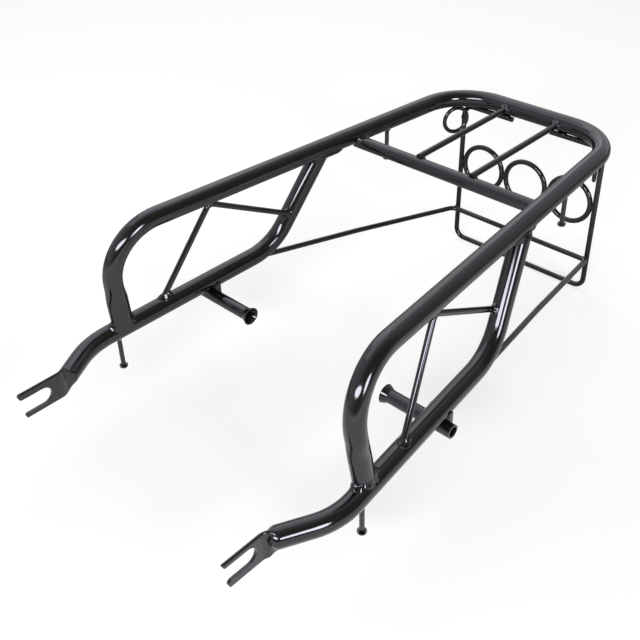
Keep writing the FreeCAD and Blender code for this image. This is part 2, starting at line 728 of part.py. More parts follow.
def sleeve_neck(edge):
    """Whether an edge is where the sleeve's outside or bore starts to flare."""
    outside = is_circle(edge, size("sleeve_dia") / 2, 0, flare_start)
    return outside or is_circle(edge, size("sleeve_bore") / 2, 0, flare_start)


for name, side in SIDES:
    sleeve = turned_body(f"{name}_sleeve_body", "XY_Plane", "H_Axis", SLEEVE_OUTLINE)
    round_edges(sleeve, f"{name}_sleeve_neck", sleeve_neck, "Sizes.flare_blend")
    over = rail_at(side, size("sleeve_y"))
    sleeve_z = over.z - tube_radius - size("sleeve_gap") - size("sleeve_dia") / 2
    inwards = FreeCAD.Rotation(Vector(1, 0, 0), Vector(-side, 0, 0))
    outer_end = Vector(side * size("sleeve_outer"), size("sleeve_y"), sleeve_z)
    sleeve.Placement = FreeCAD.Placement(outer_end, inwards)
    sleeve.Label = f"{name}_sleeve"
    nodes.append(sleeve)

    plate = doc.addObject("PartDesign::Body", f"{name}_saddle_body")
    outline = new_sketch(plate, f"{name}_saddle_outline", "XZ_Plane")
    plate_foot = "-Sizes.tube_dia / 2 - Sizes.sleeve_gap - Sizes.saddle_overlap"
    closed_outline(outline, (
        ("-Sizes.saddle_width / 2", plate_foot),
        ("Sizes.saddle_width / 2", plate_foot),
        ("Sizes.saddle_width / 2", "0"),
        ("-Sizes.saddle_width / 2", "0"),
    ))
    pad = plate.newObject("PartDesign::Pad", f"{name}_saddle_pad")
    pad.Profile = outline
    pad.setExpression("Length", "Sizes.saddle_thick")
    pad.Midplane = True
    plate.Tip = pad
    plate_middle = rail_at(side, size("sleeve_y") + size("saddle_shift"))
    plate_middle.z = over.z
    plate.Placement = FreeCAD.Placement(plate_middle, FreeCAD.Rotation())
    sleeve_filled = straight_bar(
        f"{name}_sleeve_filled", "Sizes.sleeve_dia", "Sizes.sleeve_outer - Sizes.sleeve_inner",
        outer_end, Vector(-side, 0, 0))
    nodes.append(cut(f"{name}_saddle_plate", plate, [side_filled[side], sleeve_filled]))


# ---------------------------------------------------------------------------------- studs

STUD_OUTLINE = (
    ("0", "0"),
    ("Sizes.stud_head_dia / 2", "0"),
    ("Sizes.stud_head_dia / 2", "Sizes.stud_head_depth"),
    ("Sizes.stud_dia / 2", "Sizes.stud_head_depth"),
    ("Sizes.stud_dia / 2", "Sizes.stud_length + Sizes.stud_cope"),
    ("0", "Sizes.stud_length + Sizes.stud_cope"),
)


def stud_rim(edge):
    """Whether an edge is the lower rim of a stud's head."""
    return is_circle(edge, size("stud_head_dia") / 2, 2, 0)


def add_stud(label, axis_point, tube):
    """A headed stud that hangs from the underside of a tube, coped to it."""
    stud = turned_body(f"{label}_body", "XZ_Plane", "V_Axis", STUD_OUTLINE)
    round_edges(stud, f"{label}_dome", stud_rim, "Sizes.stud_dome")
    foot = axis_point - Vector(0, 0, tube_radius + size("stud_length"))
    stud.Placement = FreeCAD.Placement(foot, FreeCAD.Rotation())
    nodes.append(cut(label, stud, [tube]))


for name, side in SIDES:
    add_stud(f"{name}_front_stud", rail_at(side, size("front_stud_y")), side_filled[side])
    add_stud(f"{name}_rear_stud", arm_at(side, size("rear_stud_y")), hoop_filled)


# ---------------------------------------------------------------------------------- export

doc.recompute()
for item in doc.Objects:
    if "Invalid" in item.State or "Error" in item.State:
        raise RuntimeError(f"{item.Label} did not recompute: {item.State}")
for node in nodes:
    if node.Shape.isNull() or not node.Shape.isValid():
        raise RuntimeError(f"{node.Label} has no valid shape")
    if len(node.Shape.Solids) != 1:
        raise RuntimeError(f"{node.Label} is {len(node.Shape.Solids)} solids, not one")

os.makedirs("parts", exist_ok=True)
for node in nodes:
    node.Shape.exportStep(f"parts/{node.Label}.step")
    box = node.Shape.BoundBox
    print(f"{node.Label:20s} {node.Shape.Volume:9.1f} mm3  x {box.XMin:7.1f} {box.XMax:7.1f}"
          f"  y {box.YMin:7.1f} {box.YMax:7.1f}  z {box.ZMin:6.1f} {box.ZMax:6.1f}")
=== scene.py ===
"""Rear luggage carrier: the enamel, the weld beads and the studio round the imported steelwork."""

import json
import logging
import math
from dataclasses import dataclass, field
from enum import Enum
from typing import Any, Iterable, Sequence

import bmesh
import bpy
from mathutils import Matrix, Vector, noise
from mathutils.bvhtree import BVHTree

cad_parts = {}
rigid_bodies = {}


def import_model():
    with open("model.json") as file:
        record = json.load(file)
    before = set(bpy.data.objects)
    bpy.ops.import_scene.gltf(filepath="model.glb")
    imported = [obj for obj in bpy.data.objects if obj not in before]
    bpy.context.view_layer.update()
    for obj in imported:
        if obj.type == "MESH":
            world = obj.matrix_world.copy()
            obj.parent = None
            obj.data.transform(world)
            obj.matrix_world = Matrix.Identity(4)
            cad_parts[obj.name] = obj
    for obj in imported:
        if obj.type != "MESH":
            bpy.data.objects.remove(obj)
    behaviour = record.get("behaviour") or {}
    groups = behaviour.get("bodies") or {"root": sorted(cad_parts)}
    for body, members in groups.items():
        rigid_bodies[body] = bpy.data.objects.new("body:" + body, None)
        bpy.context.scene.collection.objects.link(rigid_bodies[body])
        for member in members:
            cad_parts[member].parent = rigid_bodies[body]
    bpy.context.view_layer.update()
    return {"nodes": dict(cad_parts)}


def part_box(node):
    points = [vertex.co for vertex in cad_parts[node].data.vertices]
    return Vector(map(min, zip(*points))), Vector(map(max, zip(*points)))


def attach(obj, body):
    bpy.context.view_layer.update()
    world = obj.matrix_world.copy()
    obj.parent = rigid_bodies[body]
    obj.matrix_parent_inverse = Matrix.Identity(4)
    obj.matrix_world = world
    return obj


LOG = logging.getLogger("rear_carrier")
BODY = "root"
MM = 0.001


# -------------------- small helpers

def mm(value: float) -> float:
    """Millimetres as metres."""
    return value * MM


def point(x: float, y: float, z: float) -> Vector:
    """A point given in millimetres, in metres."""
    return Vector((x, y, z)) * MM


def linear(code: str) -> tuple[float, float, float, float]:
    """Turns an sRGB hex colour into Blender's linear colour.

    Args:
        code: the colour as "#rrggbb".

    Returns:
        Red, green, blue and an alpha of 1.
    """
    parts = [int(code[i:i + 2], 16) / 255 for i in (1, 3, 5)]
    curve = [c / 12.92 if c <= 0.04045 else ((c + 0.055) / 1.055) ** 2.4 for c in parts]
    return curve[0], curve[1], curve[2], 1.0


def add_node(
    tree: bpy.types.NodeTree,
    kind: str,
    settings: dict[str, Any] | None = None,
    inputs: dict[str | int, Any] | None = None,
) -> bpy.types.Node:
    """Adds one node with its settings, its socket values and its links.

    Args:
        tree: the node tree that gets the node.
        kind: Blender's name of the node's type.
        settings: properties of the node itself.
        inputs: for each input, a plain value or the output socket that feeds it.

    Returns:
        The new node.
    """
    node = tree.nodes.new(kind)
    for name, value in (settings or {}).items():
        setattr(node, name, value)
    for name, value in (inputs or {}).items():
        if isinstance(value, bpy.types.NodeSocket):
            tree.links.new(value, node.inputs[name])
        else:
            node.inputs[name].default_value = value
    return node


def new_material(name: str) -> tuple[bpy.types.Material, bpy.types.NodeTree]:
    """Makes an empty node material.

    Args:
        name: the material's name.

    Returns:
        The material and its tree.
    """
    material = bpy.data.materials.new(name)
    material.use_nodes = True
    material.node_tree.nodes.clear()
    return material, material.node_tree


def add_object(name: str, data: bpy.types.ID) -> bpy.types.Object:
    """Puts a new object into the scene.

    Args:
        name: the object's name.
        data: what it shows: a mesh, a lamp's light or a camera.

    Returns:
        The object.
    """
    thing = bpy.data.objects.new(name, data)
    bpy.context.scene.collection.objects.link(thing)
    return thing


def direction(azimuth: float, elevation: float) -> Vector:
    """The direction at an azimuth, clockwise from the rear, and an elevation, in degrees."""
    turn, rise = math.radians(azimuth), math.radians(elevation)
    return Vector((
        math.sin(turn) * math.cos(rise), math.cos(turn) * math.cos(rise), math.sin(rise)))


def clear_scene() -> None:
    """Removes whatever Blender starts with."""
    for thing in list(bpy.data.objects):
        bpy.data.objects.remove(thing)


# -------------------- finishes

@dataclass(frozen=True)
class StovedEnamel:
    """Black stoving enamel, sprayed on steel tube and baked.

    It flows out to a wet, glass-like skin, so it mirrors the lamps as sharp white streaks,
    while a faint orange peel keeps broad reflections a little uneven. The pigment is a deep,
    slightly warm black, in clouds where the spray lay thicker. The film is a little duller
    there. The peel's and the clouds' sizes are in millimetres.
    """

    name: str = "black_stoving_enamel"
    deep: str = "#080807"
    film: str = "#0e0c0e"
    roughness: float = 0.1
    roughness_spread: float = 0.04
    peel_pitch: float = 2.2
    peel_height: float = 0.004
    peel_detail: float = 1.0
    cloud_pitch: float = 30.0
    cloud_detail: float = 3.0
    cloud_band: tuple[float, float] = (0.3, 0.7)
    ior: float = 1.5

    def build(self) -> bpy.types.Material:
        """Makes the enamel's node tree.

        Returns:
            The material.
        """
        material, tree = new_material(self.name)
        place = add_node(tree, "ShaderNodeTexCoord").outputs["Object"]
        cloud = add_node(
            tree, "ShaderNodeTexNoise", None,
            {"Vector": place, "Scale": 1 / mm(self.cloud_pitch), "Detail": self.cloud_detail},
        )
        peel = add_node(
            tree, "ShaderNodeTexNoise", None,
            {"Vector": place, "Scale": 1 / mm(self.peel_pitch), "Detail": self.peel_detail},
        )
        colour = add_node(
            tree, "ShaderNodeMix", {"data_type": "RGBA"},
            {0: cloud.outputs["Fac"], 6: linear(self.deep), 7: linear(self.film)},
        )
        gloss = add_node(
            tree, "ShaderNodeMapRange", None,
            {
                "Value": cloud.outputs["Fac"],
                "From Min": self.cloud_band[0], "From Max": self.cloud_band[1],
                "To Min": self.roughness - self.roughness_spread / 2,
                "To Max": self.roughness + self.roughness_spread / 2,
            },
        )
        bump = add_node(
            tree, "ShaderNodeBump", None,
            {"Strength": 1.0, "Distance": mm(self.peel_height), "Height": peel.outputs["Fac"]},
        )
        shader = add_node(
            tree, "ShaderNodeBsdfPrincipled", None,
            {
                "Base Color": colour.outputs[2],
                "Roughness": gloss.outputs["Result"],
                "Normal": bump.outputs["Normal"],
                "IOR": self.ior,
                "Metallic": 0.0,
            },
        )
        add_node(tree, "ShaderNodeOutputMaterial", None, {"Surface": shader.outputs["BSDF"]})
        return material


# -------------------- weld beads

# Cells of unevenness per metre: in a fillet's edges, in its skin, and in a narrow bead's skin.
EDGE_GRAIN = 170.0
SKIN_GRAIN = 280.0
BEAD_GRAIN = 260.0

# Where the corner under a fillet stands proud of the line between its edges, the fillet's knee
# lies this many times as far out as the corner, so that the metal covers it.
PROUD_REACH = 2.2

# How far the unevenness shifts from one corner of a bead's section to the next, in cells.
CORNER_SHIFT = 0.02

# The cells of unevenness over a lump's radius, how far apart two lumps' patterns lie, in cells,
# and how quickly its rings follow each other, in radians over its radius.
LUMP_GRAIN = 1.6
LUMP_STRIDE = 3.1
LUMP_RINGS = 9.0

# How soon an open bead is full behind its ends, the fewest places that make a bead, and how far
# from them its host may lie, in millimetres.
END_FULLNESS = 4.4
FEWEST_PLACES = 4
REACH = 60.0


class Run(Enum):
    """How a bead goes: back to its start, or from one end to another."""

    CLOSED = "closed"
    OPEN = "open"


@dataclass(frozen=True)
class Bead:
    """A narrow bead laid along a line, in millimetres.

    Its height, its ripples, its wander, how far it leans out of its seam and what is left at
    its ends are shares of its radius. The ripples curve back from the middle, as the torch
    leaves them, by a lag that is a share of their pitch.
    """

    radius: float = 1.3
    height: float = 0.85
    ripple_pitch: float = 1.7
    ripple_depth: float = 0.13
    ripple_lag: float = 0.35
    wander: float = 0.16
    step: float = 0.35
    corners: int = 14
    lean: float = 0.25
    end: float = 0.12


@dataclass(frozen=True)
class Fillet:
    """The bead that fills the corner between a bar and its host, in millimetres.

    It climbs the bar by `up` and spreads over the host by `out`. A `hollow` of 0 draws it
    straight from edge to edge, and 1 leaves the corner empty. Its edges sink into the metal by
    `sink`, and its root by `root`. The ripples, how its edges wander and what is left at an
    open end are shares of its size, its skin's roughness is a share of that wander, and the
    ripples' lag is in radians.
    """

    up: float = 4.0
    out: float = 4.0
    hollow: float = 0.25
    ripple_pitch: float = 2.6
    ripple_depth: float = 0.05
    ripple_lag: float = 1.2
    wander: float = 0.22
    skin: float = 0.45
    step: float = 0.45
    corners: int = 9
    sink: float = 0.12
    root: float = 0.48
    end: float = 0.15


@dataclass(frozen=True)
class Landing:
    """One place of a seam: where a line along the bar's skin ends, and how the bar lies there."""

    place: Vector
    outward: Vector
    heading: Vector


def fullness(steps: int, count: int, end: float) -> float:
    """How full an open bead is near its ends.

    Args:
        steps: how many places lie between this one and the nearer end.
        count: how many places there are along the bead.
        end: what is left of the bead at its very end, as a share.

    Returns:
        A share of the bead's size, up to 1.
    """
    return max(end, min(1.0, math.sqrt(END_FULLNESS * steps / count)))


@dataclass
class Welder:
    """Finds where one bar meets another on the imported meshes, and lays a bead there.

    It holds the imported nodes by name, the finish of every bead, and the search trees so far.
    """

    nodes: dict[str, bpy.types.Object]
    finish: bpy.types.Material
    trees: dict[str, BVHTree] = field(default_factory=dict)

    def tree(self, node: str) -> BVHTree:
        """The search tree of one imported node's faces."""
        if node not in self.trees:
            mesh = self.nodes[node].data
            self.trees[node] = BVHTree.FromPolygons(
                [v.co.copy() for v in mesh.vertices],
                [list(p.vertices) for p in mesh.polygons],
            )
        return self.trees[node]

    def round_bar(
        self, name: str, towards: Vector, start: Vector, radius: float, pair: tuple[str, str],
        fillet: Fillet, ledge: float | None = None,
    ) -> None:
        """Welds a round bar's end to its host all round.

        Args:
            name: the bead's name.
            towards: a point on the bar's axis, at or past the host's surface.
            start: a point on that axis before the host.
            radius: the bar's radius, in millimetres.
            pair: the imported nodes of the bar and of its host.
            fillet: the bead's size.
            ledge: the height at which a bar that rises beside its host stops, in millimetres.
        """
        heading = (towards - start).normalized()
        side = heading.orthogonal().normalized()
        count = int(2 * math.pi * radius / fillet.step)
        origins = []
        for i in range(count):
            turn = Matrix.Rotation(2 * math.pi * i / count, 3, heading)
            origins.append(start + turn @ side * mm(radius))
        self.cast(name, origins, start, heading, pair, fillet, ledge)

    def oval_bar(
        self, name: str, towards: Vector, start: Vector, along: Vector,
        halves: tuple[float, float], pair: tuple[str, str], fillet: Fillet,
    ) -> None:
        """Welds the end of a bar that is pressed oval to its host all round.

        Args:
            name: the bead's name.
            towards: a point on the bar's axis, at or past the host's surface.
            start: a point on that axis before the host.
            along: roughly the direction of the oval's long half.
            halves: its long and its short half, in millimetres.
            pair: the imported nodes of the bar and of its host.
            fillet: the bead's size.
        """
        heading = (towards - start).normalized()
        across = heading.cross(along).normalized()
        lengthwise = across.cross(heading).normalized()
        count = int(math.pi * sum(halves) / fillet.step)
        origins = []
        for i in range(count):
            angle = 2 * math.pi * i / count
            origins.append(
                start + lengthwise * mm(halves[0]) * math.cos(angle)
                + across * mm(halves[1]) * math.sin(angle))
        self.cast(name, origins, start, heading, pair, fillet)

    def cast(
        self, name: str, origins: Sequence[Vector], start: Vector, heading: Vector,
        pair: tuple[str, str], fillet: Fillet, ledge: float | None = None,
    ) -> None:
        """Follows a bar's skin to its host and lays a bead where the two meet.

        Args:
            name: the bead's name.
            origins: points round the bar's skin, in order.
            start: a point inside the bar, level with them.
            heading: the bar's direction towards the host.
            pair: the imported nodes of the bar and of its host.
            fillet: the bead's size.
            ledge: the height at which a bar that rises beside its host stops, in millimetres.
        """
        host = self.tree(pair[1])
        seam: list[Landing | None] = []
        for origin in origins:
            place, _, _, distance = host.ray_cast(origin, heading, mm(REACH))
            if ledge is not None:
                length = (mm(ledge) - origin.z) / heading.z
                if place is None or length < distance:
                    place = origin + heading * length
            if place is None:
                seam.append(None)
                continue
            seam.append(Landing(place, (origin - start).normalized(), heading))
        if None not in seam:
            self.fill(name, [s for s in seam if s], Run.CLOSED, pair, fillet)
            return
        gap = seam.index(None)
        longest: list[Landing] = []
        current: list[Landing] = []
        for item in seam[gap:] + seam[:gap] + [None]:
            if item is None:
                longest = max(longest, current, key=len)
                current = []
            else:
                current.append(item)
        if len(longest) >= FEWEST_PLACES:
            self.fill(name, longest, Run.OPEN, pair, fillet)

    def fill(
        self, name: str, seam: Sequence[Landing], run: Run, pair: tuple[str, str],
        fillet: Fillet,
    ) -> None:
        """Fills the corner along a seam, with both edges of the bead sunk in the metal.

        Args:
            name: the bead's name.
            seam: the places along the seam, in order.
            run: closed or open.
            pair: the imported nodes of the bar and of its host.
            fillet: the bead's size.
        """
        closed = run is Run.CLOSED
        count = len(seam)
        sections = []
        travelled = 0.0
        for i, spot in enumerate(seam):
            before = seam[i - 1].place if closed or i else spot.place
            after = seam[(i + 1) % count].place if closed or i < count - 1 else spot.place
            travelled += (spot.place - before).length if i else 0.0
            phase = 2 * math.pi * travelled / mm(fillet.ripple_pitch)
            taper = 1.0 if closed else fullness(min(i, count - 1 - i), count, fillet.end)
            along = (after - before).normalized()
            sections.append(self.section(spot, along, phase, taper, pair, fillet))
        self.sweep(name, sections, run)

    def section(
        self, spot: Landing, along: Vector, phase: float, taper: float, pair: tuple[str, str],
        fillet: Fillet,
    ) -> list[Vector]:
        """Works out one section of a fillet, from the bar's skin over to the host's.

        Args:
            spot: the place on the seam.
            along: the seam's direction there.
            phase: how far the ripples have come, in radians.
            taper: how full the fillet is there.
            pair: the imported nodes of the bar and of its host.
            fillet: the bead's size.

        Returns:
            The section's points, the last of them its root inside the metal.
        """
        bar, host = self.tree(pair[0]), self.tree(pair[1])
        climb = spot.outward.cross(along)
        climb = climb if climb.dot(spot.heading) < 0 else -climb
        normal = host.find_nearest(spot.place)[1]
        spread = normal.cross(along)
        spread = spread if spread.dot(spot.heading + spot.outward) > 0 else -spread
        size = taper * (1 + fillet.wander * noise.noise(spot.place * EDGE_GRAIN))
        upper, upper_normal = bar.find_nearest(spot.place + climb * mm(fillet.up) * size)[:2]
        lower, lower_normal = host.find_nearest(spot.place + spread * mm(fillet.out) * size)[:2]
        lift = (climb.normalized() + spread.normalized()).normalized()
        upper = upper - upper_normal * mm(fillet.sink)
        lower = lower - lower_normal * mm(fillet.sink)
        middle = (upper + lower) / 2
        proud = (spot.place - middle).dot(lift) > 0
        knee = middle.lerp(spot.place, PROUD_REACH if proud else fillet.hollow)
        places = []
        for k in range(fillet.corners):
            share = k / (fillet.corners - 1)
            belly = math.sin(math.pi * share)
            curve = upper * (1 - share) ** 2 + knee * 2 * share * (1 - share) + lower * share ** 2
            wave = math.sin(phase - fillet.ripple_lag * belly) * fillet.ripple_depth
            rough = noise.noise(curve * SKIN_GRAIN) * fillet.wander * fillet.skin
            swell = mm(fillet.out) * taper * (wave + rough) * belly
            places.append(curve + lift * swell)
        places.append(spot.place - lift * mm(fillet.root))
        return places

    def sweep(self, name: str, sections: Sequence[Sequence[Vector]], run: Run) -> None:
        """Joins the sections of a bead into a closed skin.

        Args:
            name: the bead's name.
            sections: the points of each section, in order.
            run: closed or open.
        """
        shape = bmesh.new()
        rings = [[shape.verts.new(place) for place in section] for section in sections]
        corners_each = len(rings[0])
        for i in range(len(rings) if run is Run.CLOSED else len(rings) - 1):
            first, following = rings[i], rings[(i + 1) % len(rings)]
            for k in range(corners_each):
                n = (k + 1) % corners_each
                shape.faces.new((first[k], first[n], following[n], following[k]))
        if run is Run.OPEN:
            shape.faces.new(rings[0])
            shape.faces.new(list(reversed(rings[-1])))
        self.finish_piece(name, shape)

    def plate_seam(
        self, name: str, origins: Sequence[Vector], outward: Vector, heading: Vector,
        host: str, bead: Bead,
    ) -> None:
        """Lays an open bead where a flat plate's face meets its host.

        Args:
            name: the bead's name.
            origins: points along the plate's face, in order.
            outward: the way that the face looks.
            heading: the direction from the points to the host.
            host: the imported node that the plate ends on.
            bead: the bead's size.
        """
        seam = []
        for origin in origins:
            place, normal, _, _ = self.tree(host).ray_cast(origin, heading, mm(REACH))
            if place is not None:
                lift = (outward + normal).normalized()
                seam.append((place + lift * mm(bead.radius * bead.lean), lift))
        if len(seam) >= FEWEST_PLACES:
            self.lay(name, seam, bead)

    def line(self, name: str, first: Vector, last: Vector, lift: Vector, bead: Bead) -> None:
        """Lays a straight bead between two points.

        Args:
            name: the bead's name.
            first: where it starts.
            last: where it ends.
            lift: the direction that it faces.
            bead: the bead's size.
        """
        count = int((last - first).length / mm(bead.step))
        seam = [(first.lerp(last, i / count), lift.normalized()) for i in range(count + 1)]
        self.lay(name, seam, bead)

    def lay(self, name: str, seam: Sequence[tuple[Vector, Vector]], bead: Bead) -> None:
        """Sweeps a rippled section along an open seam.

        Args:
            name: the bead's name.
            seam: each place on the seam and the direction that the bead faces there.
            bead: the bead's size.
        """
        last = len(seam) - 1
        sections = []
        travelled = 0.0
        for i, (place, lift) in enumerate(seam):
            before, after = seam[max(i - 1, 0)][0], seam[min(i + 1, last)][0]
            across = (after - before).normalized().cross(lift).normalized()
            travelled += (place - before).length
            taper = fullness(min(i, last - i), last, bead.end)
            section = []
            for k in range(bead.corners):
                angle = 2 * math.pi * k / bead.corners
                phase = travelled / mm(bead.ripple_pitch) - bead.ripple_lag * math.cos(angle)
                ripple = (phase % 1.0 - 0.5) * bead.ripple_depth
                cell = place * BEAD_GRAIN + Vector((0, 0, k * CORNER_SHIFT))
                radius = mm(bead.radius) * taper * (1 + ripple + noise.noise(cell) * bead.wander)
                spot = lift * math.cos(angle) * bead.height + across * math.sin(angle)
                section.append(place + radius * spot)
            sections.append(section)
        self.sweep(name, sections, Run.OPEN)

    def lump(
        self, name: str, place: Vector, size: tuple[float, float, float], along: Vector,
        seed: int, swell: float = 0.16, ripple: float = 0.035,
    ) -> None:
        """Sets one lump of metal: a tack weld where two bars touch, or a pressed shoulder.

        Args:
            name: the lump's name.
            place: its middle.
            size: its half length, half width and half height, in millimetres.
            along: the direction of its length.
            seed: a number that gives the lump its own shape.
            swell: how uneven it is as a whole, as a share of its size.
            ripple: how strongly it is ringed, as a share of its size.
        """
        shape = bmesh.new()
        bmesh.ops.create_icosphere(shape, subdivisions=4, radius=1.0)
        turn = along.normalized().to_track_quat("X", "Z").to_matrix()
        for vertex in shape.verts:
            unit = vertex.co.normalized()
            cell = unit * LUMP_GRAIN + Vector((seed * LUMP_STRIDE, 0, 0))
            uneven = 1 + swell * noise.noise(cell)
            ringed = 1 + ripple * math.sin(unit.x * LUMP_RINGS + seed)
            body = Vector((unit.x * size[0], unit.y * size[1], unit.z * size[2]))
            vertex.co = place + turn @ body * MM * uneven * ringed
        self.finish_piece(name, shape)

    def finish_piece(self, name: str, shape: bmesh.types.BMesh) -> None:
        """Turns a bead's shape into a smooth, enamelled piece that rides on the carrier.

        Args:
            name: the piece's name.
            shape: the shape, which is freed.
        """
        bmesh.ops.recalc_face_normals(shape, faces=shape.faces)
        for face in shape.faces:
            face.smooth = True
        mesh = bpy.data.meshes.new(name)
        shape.to_mesh(mesh)
        shape.free()
        mesh.materials.append(self.finish)
        piece = add_object(name, mesh)
        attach(piece, BODY)
        LOG.info("laid %s: %d faces", name, len(mesh.polygons))


# -------------------- the carrier's lines

SIDES: tuple[tuple[str, int], ...] = (("left", -1), ("right", 1))
UP = Vector((0, 0, 1))


def between(first: Vector, last: Vector, y: float) -> Vector:
    """The point at a given y on the straight line through two points."""
    return first + (last - first) * ((y - first.y) / (last.y - first.y))


@dataclass(frozen=True)
class CarrierLines:
    """The axes that the sub-assemblies share, in millimetres.

    The deck is the height of the hoop's axis. Its arms run from the front corners to the rear
    ones. A rail is the long run of a side tube, from the bend before the fork to the bend under
    the riser. The rail's two corners, and every other place in this file, are the right side's.
    The headings of both are taken over `heading_span`, which lies well within them.
    """

    tube_radius: float = 8.0
    deck: float = 164.5
    front_y: float = -157.0
    front_half: float = 124.9
    rear_y: float = 250.0
    rear_half: float = 86.6
    rail_front: tuple[float, float, float] = (137.1, -178.9, 67.3)
    rail_rear: tuple[float, float, float] = (120.5, 14.1, 78.5)
    heading_span: tuple[float, float] = (-100.0, 0.0)

    def arm(self, side: int, y: float) -> Vector:
        """A point on the axis of one arm of the hoop."""
        front = Vector((side * self.front_half, self.front_y, self.deck))
        rear = Vector((side * self.rear_half, self.rear_y, self.deck))
        return between(front, rear, y)

    def rail(self, side: int, y: float) -> Vector:
        """A point on the axis of the long run of one side tube."""
        front = Vector((side * self.rail_front[0], *self.rail_front[1:]))
        rear = Vector((side * self.rail_rear[0], *self.rail_rear[1:]))
        return between(front, rear, y)

    def arm_heading(self, side: int) -> Vector:
        """The direction of one arm, backwards."""
        front, rear = self.heading_span
        return self.arm(side, rear) - self.arm(side, front)

    def rail_heading(self, side: int) -> Vector:
        """The direction of one rail, backwards."""
        front, rear = self.heading_span
        return self.rail(side, rear) - self.rail(side, front)


LINES = CarrierLines()


# -------------------- sub-assemblies

@dataclass(frozen=True)
class SideFrames:
    """The hoop's legs, the side tubes' risers and the right fork's neck, in millimetres.

    A leg lands `foot_inset` inside the rail's axis, and its foot is pressed oval. A riser meets
    the arm `riser_outset` outside its axis and laps up beside it. Each bead is cast on to its
    host from `back` up the bar. The two runs beside a riser go along the arm, `run_angle` below
    the level, from `run_from` to `run_to` behind the riser's axis.
    """

    foot_y: float = -147.0
    foot_inset: float = 1.3
    foot_halves: tuple[float, float] = (9.7, 6.4)
    riser_y: float = 69.3
    riser_outset: float = 1.8
    riser_lap: float = 2.0
    back: float = 22.0
    foot_fillet: Fillet = Fillet(
        up=4.2, out=4.0, hollow=0.3, ripple_pitch=3.4, ripple_depth=0.025, wander=0.3)
    top_fillet: Fillet = Fillet(up=3.2, out=3.4, hollow=0.35, ripple_depth=0.02, wander=0.15)
    run_bead: Bead = Bead(radius=2.3, ripple_pitch=2.6, ripple_depth=0.04, wander=0.2)
    run_from: float = -13.0
    run_to: float = 17.0
    run_angle: float = 54.0
    # The right fork is pressed so short that the tube keeps a round shoulder, just inside its
    # own skin. The left one runs out flat.
    fork_corner: tuple[float, float, float] = (114.3, -224.3, 67.7)
    fork_bend: float = 10.0
    neck_length: float = 0.5
    press_length: float = 7.0
    shoulder_halves: tuple[float, float, float] = (7.4, 7.95, 7.95)

    def foot(self, side: int) -> Vector:
        """Where a leg's axis meets the long run below it."""
        return LINES.rail(side, self.foot_y) - Vector((side * self.foot_inset, 0, 0))

    def riser_top(self, side: int) -> Vector:
        """Where a riser's axis meets the arm above it."""
        return LINES.arm(side, self.riser_y) + Vector((side * self.riser_outset, 0, 0))

    def riser_foot(self, side: int) -> Vector:
        """The corner below a riser."""
        return LINES.rail(side, LINES.rail_rear[1])

    def build(self, welder: Welder) -> None:
        """Lays the beads of the legs' feet and the risers' tops, and rounds the right neck.

        Args:
            welder: the welder of this carrier.
        """
        ledge = LINES.deck - LINES.tube_radius + self.riser_lap
        for name, side in SIDES:
            foot = self.foot(side)
            corner = LINES.arm(side, LINES.front_y)
            start = foot + (corner - foot).normalized() * self.back
            welder.oval_bar(
                f"{name}_leg_foot_weld", foot * MM, start * MM, LINES.rail_heading(side),
                self.foot_halves, ("top_hoop", f"{name}_side_tube"), self.foot_fillet)
            top = self.riser_top(side)
            start = top + (self.riser_foot(side) - top).normalized() * self.back
            welder.round_bar(
                f"{name}_riser_top_weld", top * MM, start * MM, LINES.tube_radius,
                (f"{name}_side_tube", "top_hoop"), self.top_fillet, ledge)
            self.side_runs(welder, name, side)
        self.shoulder(welder)

    def side_runs(self, welder: Welder, name: str, side: int) -> None:
        """Lays the two beads that run along the arm, past the riser under it.

        Args:
            welder: the welder of this carrier.
            name: "left" or "right".
            side: -1 or 1.
        """
        low = math.radians(self.run_angle)
        for label, way in (("inner", -side), ("outer", side)):
            lift = Vector((way * math.cos(low), 0, -math.sin(low)))
            ends = [
                LINES.arm(side, self.riser_y + y) + lift * LINES.tube_radius
                for y in (self.run_from, self.run_to)
            ]
            welder.line(
                f"{name}_riser_{label}_run", ends[0] * MM, ends[1] * MM, lift, self.run_bead)

    def shoulder(self, welder: Welder) -> None:
        """Rounds the right side tube's end, where the pressing of its fork starts.

        Args:
            welder: the welder of this carrier.
        """
        corner, front = Vector(self.fork_corner), Vector(LINES.rail_front)
        heading = (corner - front).normalized()
        level = Vector((heading.x, heading.y, 0))
        half_turn = level.angle(Vector((0, -1, 0))) / 2
        flat = self.fork_bend * math.tan(half_turn) + self.neck_length
        middle = corner - heading * (flat + self.press_length)
        welder.lump(
            "right_fork_shoulder", middle * MM, self.shoulder_halves, heading, 0, 0.0, 0.0)


